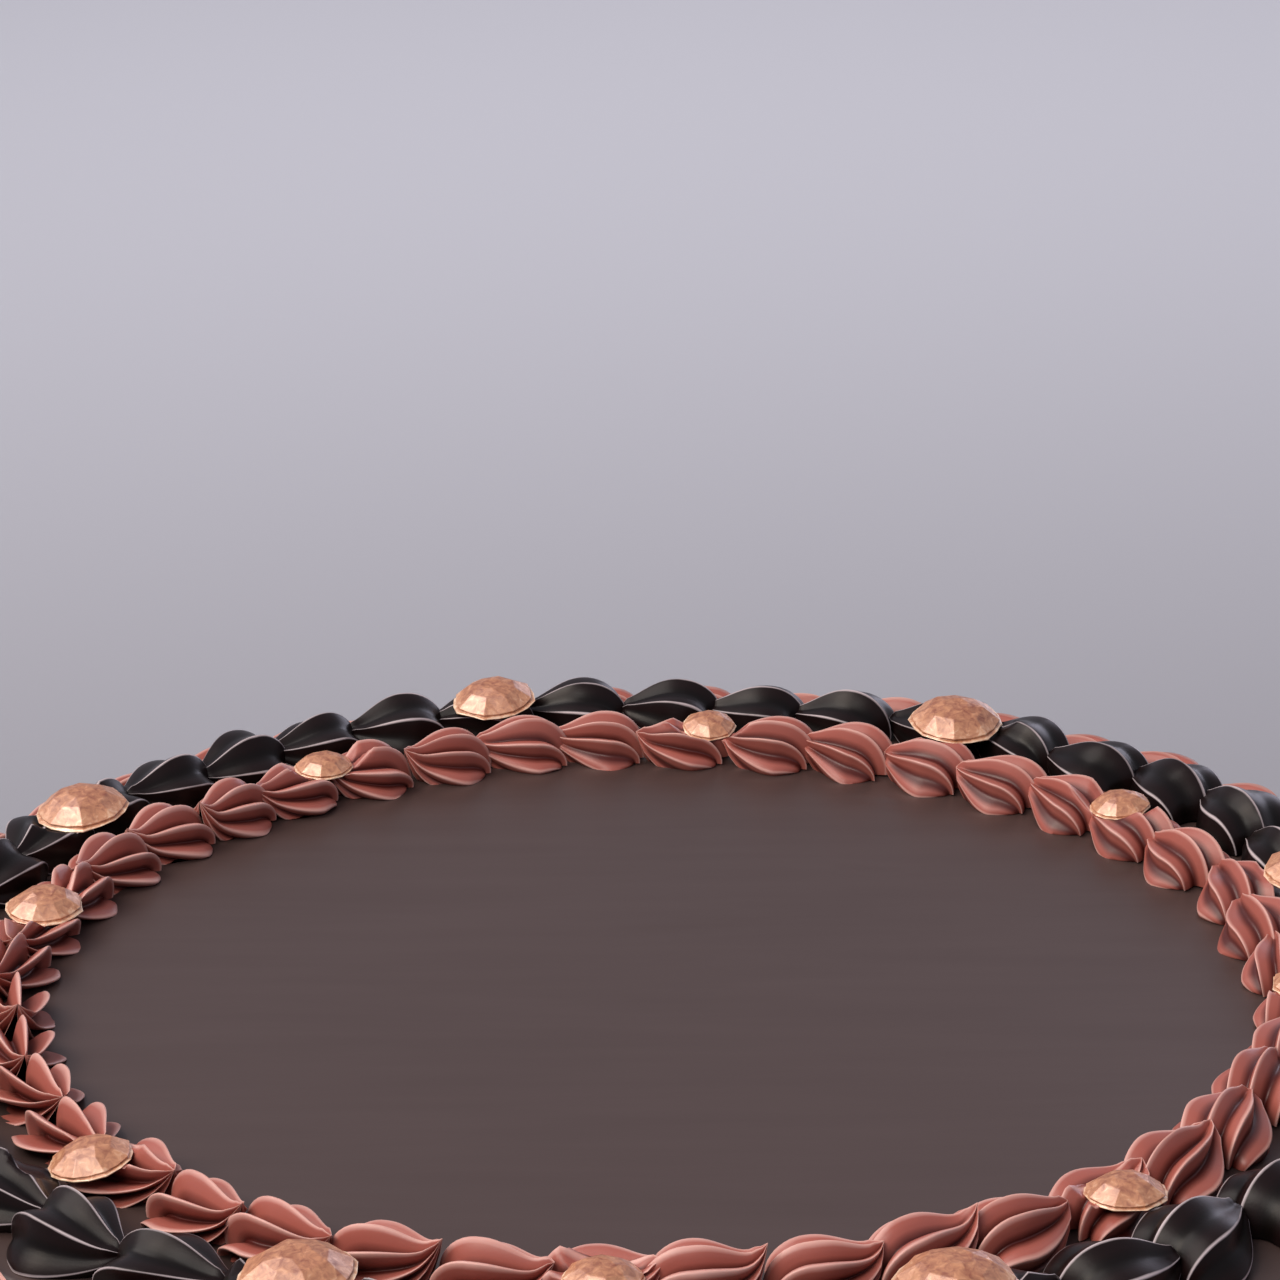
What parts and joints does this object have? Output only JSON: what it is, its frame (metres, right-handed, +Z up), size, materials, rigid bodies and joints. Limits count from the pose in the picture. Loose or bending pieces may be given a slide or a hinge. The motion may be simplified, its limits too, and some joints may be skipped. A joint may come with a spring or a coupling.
{
  "type": "ganache cake",
  "caption": "Round ganache-coated cake with rings of piped shells around its flat top edge and foot, studded with faceted moulded gems.",
  "frame": {"origin": "centre of the flat base, on the surface that the cake stands on", "axes": "+Z up through the cake's middle; the picture's view looks along +Y and down"},
  "size_m": [0.2372, 0.2372, 0.1087],
  "materials": {
    "ganache_coat": "smooth set dark ganache, satin, with faint palette-knife smears",
    "milk_piping": "piped milk-chocolate ganache, satin, ridged by a star nozzle",
    "dark_piping": "piped dark ganache, near black with a soft sheen",
    "gem_dust": "moulded gem facets brushed with rose-gold lustre dust"
  },
  "bodies": {
    "root": {"cake_body": "ganache_coat", "inner_milk_border": "milk_piping", "dark_border": "dark_piping", "edge_milk_border": "milk_piping", "base_dark_border": "dark_piping", "small_gem_01": "gem_dust", "small_gem_02": "gem_dust", "small_gem_03": "gem_dust", "small_gem_04": "gem_dust", "small_gem_05": "gem_dust", "small_gem_06": "gem_dust", "small_gem_07": "gem_dust", "small_gem_08": "gem_dust", "large_gem_01": "gem_dust", "large_gem_02": "gem_dust", "large_gem_03": "gem_dust", "large_gem_04": "gem_dust", "large_gem_05": "gem_dust", "large_gem_06": "gem_dust", "large_gem_07": "gem_dust", "large_gem_08": "gem_dust"}
  },
  "joints": []
}
